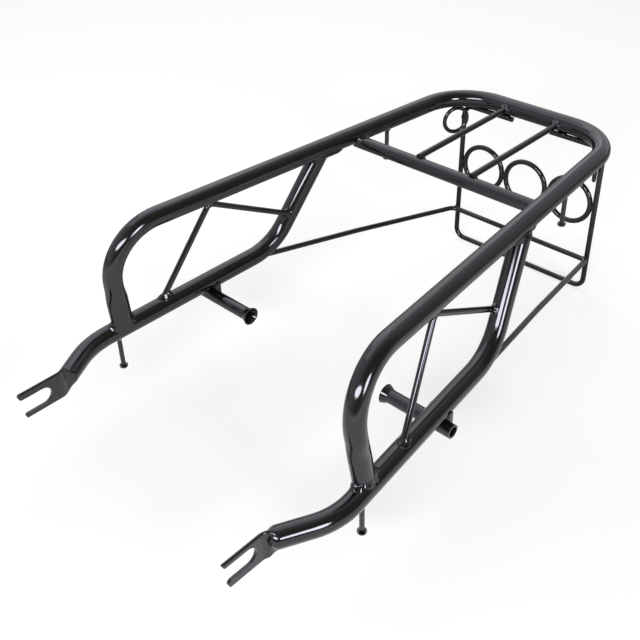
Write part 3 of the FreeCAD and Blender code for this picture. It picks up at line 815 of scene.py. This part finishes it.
@dataclass(frozen=True)
class Deck:
    """The cross tube between the arms and the two rods behind it, in millimetres.

    Both lie lower than the hoop's axis by their drop. The beads are cast from `cross_start`
    outwards, and from `rod_front` and `rod_rear` to the rods' ends.
    """

    cross_y: float = 109.2
    cross_drop: float = 7.2
    cross_radius: float = 6.0
    cross_start: float = 60.0
    rod_half: float = 28.0
    rod_drop: float = 0.5
    rod_radius: float = 2.75
    rod_front: float = 128.0
    rod_rear: float = 228.0
    fillet: Fillet = Fillet(up=3.4, out=3.8, hollow=0.2, ripple_depth=0.05)
    rod_fillet: Fillet = Fillet(
        up=2.6, out=3.2, hollow=0.0, ripple_pitch=2.0, ripple_depth=0.08, wander=0.35, step=0.3)

    def build(self, welder: Welder) -> None:
        """Lays the beads at the cross tube's ends and at both ends of each rod.

        Args:
            welder: the welder of this carrier.
        """
        cross_z = LINES.deck - self.cross_drop
        rod_z = LINES.deck - self.rod_drop
        for name, side in SIDES:
            start = point(side * self.cross_start, self.cross_y, cross_z)
            end = point(side * LINES.front_half, self.cross_y, cross_z)
            welder.round_bar(
                f"{name}_cross_tube_weld", end, start, self.cross_radius,
                ("cross_tube", "top_hoop"), self.fillet)
            x = side * self.rod_half
            rod = f"{name}_deck_rod"
            welder.round_bar(
                f"{rod}_rear_weld", point(x, LINES.rear_y, rod_z),
                point(x, self.rod_rear, rod_z), self.rod_radius, (rod, "top_hoop"),
                self.rod_fillet)
            welder.round_bar(
                f"{rod}_front_weld", point(x, self.cross_y, rod_z),
                point(x, self.rod_front, rod_z), self.rod_radius, (rod, "cross_tube"),
                self.rod_fillet)


@dataclass(frozen=True)
class Braces:
    """The V-shaped rods in the side windows, in millimetres: their feet, apexes and landings.

    A brace lands `inset` inside its riser, `rise` of the way up it. Its apex touches the arm
    `crest_drop` under its axis.
    """

    foot_y: float = -109.7
    apex_y: float = -57.1
    outset: float = 1.4
    rise: float = 0.344
    inset: float = 4.0
    radius: float = 2.5
    crest_drop: float = 8.6
    back: float = 18.0
    foot_fillet: Fillet = Fillet(
        up=4.4, out=4.0, hollow=-0.25, ripple_pitch=2.6, ripple_depth=0.05, wander=0.4, step=0.3)
    landing_fillet: Fillet = Fillet(
        up=2.6, out=2.6, hollow=0.0, ripple_pitch=2.0, ripple_depth=0.07, wander=0.3, step=0.3)
    tack_size: tuple[float, float, float] = (5.6, 3.3, 2.6)
    tack_outset: float = 1.68

    def build(self, welder: Welder, frames: SideFrames) -> None:
        """Lays the beads of both braces.

        Args:
            welder: the welder of this carrier.
            frames: the side frames that carry the braces.
        """
        for name, side in SIDES:
            outset = Vector((side * self.outset, 0, 0))
            foot = LINES.rail(side, self.foot_y) + outset
            apex = LINES.arm(side, self.apex_y) + outset - Vector((0, 0, self.crest_drop))
            top, low = frames.riser_top(side), frames.riser_foot(side)
            landing = low.lerp(top, self.rise) - Vector((side * self.inset, 0, 0))
            for label, end, fillet in (
                ("foot", foot, self.foot_fillet), ("landing", landing, self.landing_fillet),
            ):
                start = end + (apex - end).normalized() * self.back
                welder.round_bar(
                    f"{name}_brace_{label}_weld", end * MM, start * MM, self.radius,
                    (f"{name}_brace_rod", f"{name}_side_tube"), fillet)
            tack = LINES.arm(side, self.apex_y)
            tack += Vector((side * self.tack_outset, 0, -self.crest_drop))
            welder.lump(
                f"{name}_brace_apex_tack", tack * MM, self.tack_size, LINES.arm_heading(side),
                side)


@dataclass(frozen=True)
class RearPanel:
    """The C-shaped frame under the rear run, its ring band and its corner rings, in millimetres.

    The frame lies `inset` before the rear run's axis. Each of its two top rods has a seam before
    it and one behind it, from `seam_inner` to `seam_outer`. A seam is given by its name, how far
    behind the rod's axis it lies, and which way it faces.
    """

    inset: float = 3.0
    half: float = 77.0
    radius: float = 2.5
    band_z: float = 92.2
    ring_edge: float = 24.8
    seam_inner: float = 25.0
    seam_outer: float = 37.0
    seam_z: float = 155.65
    seams: tuple[tuple[str, float, tuple[float, float, float]], ...] = (
        ("front", -1.8, (0.0, -1.0, -0.25)), ("rear", 3.875, (0.0, 1.0, -0.35)))
    seam_bead: Bead = Bead(radius=1.2, ripple_pitch=1.6, ripple_depth=0.12)
    ring_tack: tuple[float, float, float] = (2.6, 1.9, 1.6)
    hoop_tack: tuple[float, float, float] = (3.2, 2.0, 1.3)
    band_end_seed: int = 3
    band_ring_seed: int = 7
    corner_top_seed: int = 11
    corner_side_seed: int = 15

    def build(self, welder: Welder) -> None:
        """Lays the beads along the top rods and the tacks of every ring.

        Args:
            welder: the welder of this carrier.
        """
        y = LINES.rear_y - self.inset
        for name, side in SIDES:
            for place, offset, lift in self.seams:
                first, last = (
                    point(side * x, y + offset, self.seam_z)
                    for x in (self.seam_inner, self.seam_outer))
                welder.line(
                    f"{name}_panel_top_{place}_weld", first, last, Vector(lift), self.seam_bead)
            for label, x, seed in (
                ("end", self.half - self.radius, self.band_end_seed),
                ("ring", self.ring_edge, self.band_ring_seed),
            ):
                welder.lump(
                    f"{name}_band_{label}_tack", point(side * x, y, self.band_z), self.ring_tack,
                    UP, seed + side)
            self.corner_ring(welder, name, side)

    def corner_ring(self, welder: Welder, name: str, side: int) -> None:
        """Tacks one corner ring to the hoop above it and to the upright beside it.

        Args:
            welder: the welder of this carrier.
            name: "left" or "right".
            side: -1 or 1.
        """
        low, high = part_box(f"{name}_corner_ring")
        middle = (low + high) / 2
        upright = point(side * self.half, LINES.rear_y - self.inset, 0)
        upright.z = middle.z
        level = (upright - middle).normalized()
        welder.lump(
            f"{name}_corner_ring_top_tack", Vector((middle.x, middle.y, high.z)),
            self.hoop_tack, level, self.corner_top_seed + side)
        contact = upright - level * mm(self.radius)
        welder.lump(
            f"{name}_corner_ring_side_tack", contact, self.ring_tack, UP,
            self.corner_side_seed + side)


@dataclass(frozen=True)
class Stay:
    """The U-shaped rod from the side tubes round the panel's uprights, in millimetres."""

    knee: tuple[float, float, float] = (102.3, 113.0, 58.2)
    tip: tuple[float, float, float] = (123.6, -1.0, 73.4)
    crossing_z: float = 37.6
    radius: float = 2.5
    back: float = 24.0
    fillet: Fillet = Fillet(
        up=2.4, out=2.4, hollow=0.0, ripple_pitch=2.0, ripple_depth=0.07, wander=0.3, step=0.3)
    tack_size: tuple[float, float, float] = (3.4, 2.6, 2.2)
    seed: int = 19

    def build(self, welder: Welder, panel: RearPanel) -> None:
        """Lays the beads at the stay's tips and tacks it to the uprights.

        Args:
            welder: the welder of this carrier.
            panel: the panel that it crosses.
        """
        for name, side in SIDES:
            mirror = Vector((side, 1, 1))
            knee = Vector(self.knee) * mirror
            tip = Vector(self.tip) * mirror
            start = tip + (knee - tip).normalized() * self.back
            welder.round_bar(
                f"{name}_stay_tip_weld", tip * MM, start * MM, self.radius,
                ("panel_stay", f"{name}_side_tube"), self.fillet)
            y = LINES.rear_y - panel.inset - panel.radius
            welder.lump(
                f"{name}_stay_crossing_tack", point(side * panel.half, y, self.crossing_z),
                self.tack_size, Vector((1, 0, 0)), self.seed + side)


@dataclass(frozen=True)
class SleevesAndStuds:
    """The bolt sleeves' saddle plates and the headed studs, in millimetres.

    Each bead is cast upwards: a plate's from `plate_start` above its sleeve, and a stud's from
    `stud_start` under its tube.
    """

    plate_start: float = 0.5
    front_stud_y: float = -152.4
    rear_stud_y: float = 148.0
    stud_radius: float = 2.0
    stud_start: float = 16.0
    plate_bead: Bead = Bead(radius=1.3, ripple_pitch=1.7, ripple_depth=0.14, step=0.35)
    stud_fillet: Fillet = Fillet(
        up=2.8, out=2.6, hollow=0.35, ripple_pitch=1.8, ripple_depth=0.04, wander=0.25, step=0.25)

    def build(self, welder: Welder) -> None:
        """Lays the beads round the plates and the studs' tops.

        Args:
            welder: the welder of this carrier.
        """
        for name, side in SIDES:
            self.plate(welder, name)
            rail = LINES.rail(side, self.front_stud_y)
            self.stud(welder, f"{name}_front_stud", rail, f"{name}_side_tube")
            arm = LINES.arm(side, self.rear_stud_y)
            self.stud(welder, f"{name}_rear_stud", arm, "top_hoop")

    def stud(self, welder: Welder, name: str, axis: Vector, host: str) -> None:
        """Lays the bead at one stud's top.

        Args:
            welder: the welder of this carrier.
            name: the stud's node.
            axis: the tube's axis over the stud.
            host: the tube's node.
        """
        start = axis - Vector((0, 0, LINES.tube_radius + self.stud_start))
        welder.round_bar(
            f"{name}_weld", axis * MM, start * MM, self.stud_radius, (name, host),
            self.stud_fillet)

    def plate(self, welder: Welder, name: str) -> None:
        """Lays the beads before and behind one saddle plate, under the tube.

        Args:
            welder: the welder of this carrier.
            name: "left" or "right".
        """
        low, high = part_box(f"{name}_saddle_plate")
        middle, half = (low + high) / 2, (high - low) / 2
        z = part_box(f"{name}_sleeve")[1].z + mm(self.plate_start)
        count = int(half.x * 2 / mm(self.plate_bead.step))
        for place, way in (("front", -1), ("rear", 1)):
            origins = [
                Vector((middle.x + half.x * (2 * i / count - 1), middle.y + way * half.y, z))
                for i in range(1, count)
            ]
            welder.plate_seam(
                f"{name}_saddle_{place}_weld", origins, Vector((0, way, 0)), UP,
                f"{name}_side_tube", self.plate_bead)


# -------------------- studio

@dataclass(frozen=True)
class PaleFloor:
    """Matt pale paper sweep: no pattern, so that only the carrier's soft shadow shows on it.

    A glow that only the camera sees makes up for what the lamps don't bring: it grows from the
    lamps' side to the far one, and again beyond the lamps, so that the paper looks evenly white.
    A second glow, which only mirror rays see, is painted light: it grows towards the lamps' side
    and fades where the paper runs off behind, so the enamel mirrors a painted pool of light. The
    paper's side and its drop under the carrier are in millimetres, and so is each span: along
    the lamps' side, or for `beyond` away from the carrier.
    """

    name: str = "matt_pale_paper"
    colour: str = "#c8c7bd"
    roughness: float = 0.9
    ior: float = 1.45
    side: float = 30000.0
    drop: float = 0.5
    lamp_side: tuple[float, float, float] = (0.695, -0.719, 0.0)
    seen_span: tuple[float, float] = (-350.0, 250.0)
    seen_glow: tuple[float, float] = (0.61, 0.35)
    beyond_span: tuple[float, float] = (900.0, 1600.0)
    beyond_glow: tuple[float, float] = (0.0, 0.93)
    # Painted reflected light: the tint, span and strength of the glow that only mirror rays see.
    mirrored: str = "#f4effc"
    mirrored_span: tuple[float, float] = (-150.0, 130.0)
    mirrored_glow: tuple[float, float] = (0.0, 0.65)

    def build(self) -> bpy.types.Object:
        """Lays the floor under the carrier's lowest point.

        Returns:
            The floor.
        """
        mesh = bpy.data.meshes.new("studio_floor")
        shape = bmesh.new()
        bmesh.ops.create_grid(shape, x_segments=1, y_segments=1, size=mm(self.side) / 2)
        shape.to_mesh(mesh)
        shape.free()
        mesh.materials.append(self.paper())
        floor = add_object("studio_floor", mesh)
        floor.location.z = -mm(self.drop)
        return floor

    def paper(self) -> bpy.types.Material:
        """Makes the paper's node tree.

        Returns:
            The material.
        """
        material, tree = new_material(self.name)
        path = add_node(tree, "ShaderNodeLightPath")
        place = add_node(tree, "ShaderNodeTexCoord").outputs["Object"]
        towards_lamps = add_node(
            tree, "ShaderNodeVectorMath", {"operation": "DOT_PRODUCT"},
            {0: place, 1: self.lamp_side},
        )
        away = add_node(tree, "ShaderNodeVectorMath", {"operation": "LENGTH"}, {0: place})
        evened, beyond, painted_mirror_glow = (
            add_node(
                tree, "ShaderNodeMapRange", {"interpolation_type": "SMOOTHSTEP"},
                {
                    "Value": along.outputs["Value"],
                    "From Min": mm(span[0]), "From Max": mm(span[1]),
                    "To Min": glow[0], "To Max": glow[1],
                },
            )
            for along, span, glow in (
                (towards_lamps, self.seen_span, self.seen_glow),
                (away, self.beyond_span, self.beyond_glow),
                (towards_lamps, self.mirrored_span, self.mirrored_glow),
            )
        )
        seen = add_node(
            tree, "ShaderNodeMath", {"operation": "MAXIMUM"},
            {0: evened.outputs["Result"], 1: beyond.outputs["Result"]},
        )
        mirror_ray = add_node(
            tree, "ShaderNodeMath", {"operation": "MAXIMUM"},
            {0: path.outputs["Is Glossy Ray"], 1: path.outputs["Is Transmission Ray"]},
        )
        # Painted reflected light: only mirror rays get this glow, and it is strongest on the
        # lamps' side.
        reflected = add_node(
            tree, "ShaderNodeMath", {"operation": "MULTIPLY"},
            {0: mirror_ray.outputs["Value"], 1: painted_mirror_glow.outputs["Result"]},
        )
        glow = add_node(
            tree, "ShaderNodeMath", {"operation": "MULTIPLY_ADD"},
            {
                0: path.outputs["Is Camera Ray"], 1: seen.outputs["Value"],
                2: reflected.outputs["Value"],
            },
        )
        tint = add_node(
            tree, "ShaderNodeMix", {"data_type": "RGBA"},
            {0: mirror_ray.outputs["Value"], 6: linear("#ffffff"), 7: linear(self.mirrored)},
        )
        shader = add_node(
            tree, "ShaderNodeBsdfPrincipled", None,
            {
                "Base Color": linear(self.colour), "Roughness": self.roughness, "IOR": self.ior,
                "Specular IOR Level": 0.0,
                "Emission Color": tint.outputs[2], "Emission Strength": glow.outputs["Value"],
            },
        )
        add_node(tree, "ShaderNodeOutputMaterial", None, {"Surface": shader.outputs["BSDF"]})
        return material


class LampShape(Enum):
    """The outline of a lamp's diffuser."""

    OVAL = "ELLIPSE"
    OBLONG = "RECTANGLE"


@dataclass(frozen=True)
class Lamp:
    """One soft lamp, placed by its direction from the carrier, in degrees, metres and watts.

    Its azimuth goes clockwise from the carrier's rear, as seen from above.
    """

    name: str
    azimuth: float
    elevation: float
    distance: float
    width: float
    height: float
    power: float
    tint: str = "#f1eeff"
    shape: LampShape = LampShape.OVAL

    def build(self, aim: Vector) -> bpy.types.Object:
        """Hangs the lamp and turns it to the carrier.

        Args:
            aim: the point that it faces.

        Returns:
            The lamp.
        """
        light = bpy.data.lights.new(self.name, "AREA")
        light.shape = self.shape.value
        light.size = self.width
        light.size_y = self.height
        light.energy = self.power
        light.color = linear(self.tint)[:3]
        lamp = add_object(self.name, light)
        out = direction(self.azimuth, self.elevation)
        lamp.location = aim + out * self.distance
        lamp.rotation_mode = "QUATERNION"
        lamp.rotation_quaternion = (-out).to_track_quat("-Z", "Y")
        lamp.visible_camera = False
        return lamp


@dataclass(frozen=True)
class Studio:
    """A white sweep, a darker room that the enamel mirrors on one side, and soft lamps.

    The room fades in with the cosine of the angle from its heading. The lamps face the aim,
    which is in millimetres.
    """

    backdrop: str = "#ffffff"
    mirrored: str = "#f4effc"
    room: str = "#85826f"
    fill: float = 0.14
    room_heading: tuple[float, float, float] = (0.94, -0.25, 0.21)
    room_span: tuple[float, float] = (-0.15, 0.75)
    aim: tuple[float, float, float] = (0.0, -20.0, 110.0)
    lamps: tuple[Lamp, ...] = (
        Lamp("side_softbox", 104.0, 19.5, 1.7, 0.52, 0.6, 19.0),
        Lamp("front_softbox", 158.0, 28.0, 1.7, 1.3, 0.45, 34.0),
        Lamp("left_ceiling_lamp", -75.0, 62.0, 1.9, 1.8, 1.4, 8.0, shape=LampShape.OBLONG),
        Lamp("rear_bounce_lamp", -50.0, 36.0, 2.2, 2.0, 1.3, 6.5, "#fffef6", LampShape.OBLONG),
    )

    def build(self) -> None:
        """Makes the world and hangs the lamps."""
        world = bpy.data.worlds.new("white_studio")
        bpy.context.scene.world = world
        world.use_nodes = True
        tree = world.node_tree
        tree.nodes.clear()
        path = add_node(tree, "ShaderNodeLightPath")
        heading = add_node(tree, "ShaderNodeTexCoord").outputs["Generated"]
        towards_room = add_node(
            tree, "ShaderNodeVectorMath", {"operation": "DOT_PRODUCT"},
            {0: heading, 1: Vector(self.room_heading).normalized()},
        )
        share = add_node(
            tree, "ShaderNodeMapRange", {"interpolation_type": "SMOOTHSTEP"},
            {
                "Value": towards_room.outputs["Value"],
                "From Min": self.room_span[0], "From Max": self.room_span[1],
                "To Min": 0.0, "To Max": 1.0,
            },
        )
        mirrored = add_node(
            tree, "ShaderNodeMix", {"data_type": "RGBA"},
            {0: share.outputs["Result"], 6: linear(self.mirrored), 7: linear(self.room)},
        )
        seen, gloss, soft = (
            add_node(tree, "ShaderNodeBackground", None, {"Color": colour, "Strength": strength})
            for colour, strength in (
                (linear(self.backdrop), 1.0),
                (mirrored.outputs[2], 1.0),
                (linear(self.backdrop), self.fill),
            )
        )
        mirror_ray = add_node(
            tree, "ShaderNodeMath", {"operation": "MAXIMUM"},
            {0: path.outputs["Is Glossy Ray"], 1: path.outputs["Is Transmission Ray"]},
        )
        first = add_node(
            tree, "ShaderNodeMixShader", None,
            {0: mirror_ray.outputs["Value"], 1: soft.outputs[0], 2: gloss.outputs[0]},
        )
        both = add_node(
            tree, "ShaderNodeMixShader", None,
            {0: path.outputs["Is Camera Ray"], 1: first.outputs[0], 2: seen.outputs[0]},
        )
        add_node(tree, "ShaderNodeOutputWorld", None, {"Surface": both.outputs[0]})
        for lamp in self.lamps:
            lamp.build(Vector(self.aim) * MM)
        bpy.context.scene.view_settings.view_transform = "Standard"


@dataclass(frozen=True)
class CatalogueCamera:
    """The camera, placed by the angles of its line of sight, in degrees and millimetres.

    Its azimuth goes clockwise from the carrier's rear, as seen from above.
    """

    azimuth: float = 136.0
    elevation: float = 34.33
    roll: float = -1.499
    aim: tuple[float, float, float] = (0.0, -46.0, 120.86)
    distance: float = 724.78
    lens: float = 51.97
    sensor: float = 36.0
    shift: tuple[float, float] = (-0.0029, -0.0553)
    clip: tuple[float, float] = (20.0, 60000.0)

    def build(self) -> bpy.types.Object:
        """Makes the scene's camera.

        Returns:
            The camera.
        """
        back = direction(self.azimuth, self.elevation)
        right = UP.cross(back).normalized()
        axes = Matrix((right, back.cross(right), back)).transposed()
        data = bpy.data.cameras.new("catalogue_camera")
        data.lens = self.lens
        data.sensor_width = self.sensor
        data.shift_x, data.shift_y = self.shift
        data.clip_start, data.clip_end = mm(self.clip[0]), mm(self.clip[1])
        camera = add_object("catalogue_camera", data)
        tilt = Matrix.Rotation(math.radians(self.roll), 3, "Z")
        camera.matrix_world = Matrix.Translation(
            (Vector(self.aim) + back * self.distance) * MM) @ (axes @ tilt).to_4x4()
        bpy.context.scene.camera = camera
        return camera


# -------------------- assembly

def corners(box: Iterable[Vector]) -> list[list[float]]:
    """A box's corners as plain lists of numbers."""
    return [[float(value) for value in corner] for corner in box]


def main() -> None:
    """Builds the carrier's finish and beads in order, then the studio round it."""
    logging.basicConfig(level=logging.INFO, format="%(name)s: %(message)s")
    clear_scene()
    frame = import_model()
    enamel = StovedEnamel().build()
    for name, node in frame["nodes"].items():
        node.data.materials.clear()
        node.data.materials.append(enamel)
        LOG.info("enamelled %s", name)
    welder = Welder(frame["nodes"], enamel)
    frames = SideFrames()
    panel = RearPanel()
    frames.build(welder)
    Deck().build(welder)
    Braces().build(welder, frames)
    panel.build(welder)
    Stay().build(welder, panel)
    SleevesAndStuds().build(welder)
    PaleFloor().build()
    Studio().build()
    CatalogueCamera().build()


if __name__ == "__main__":
    main()
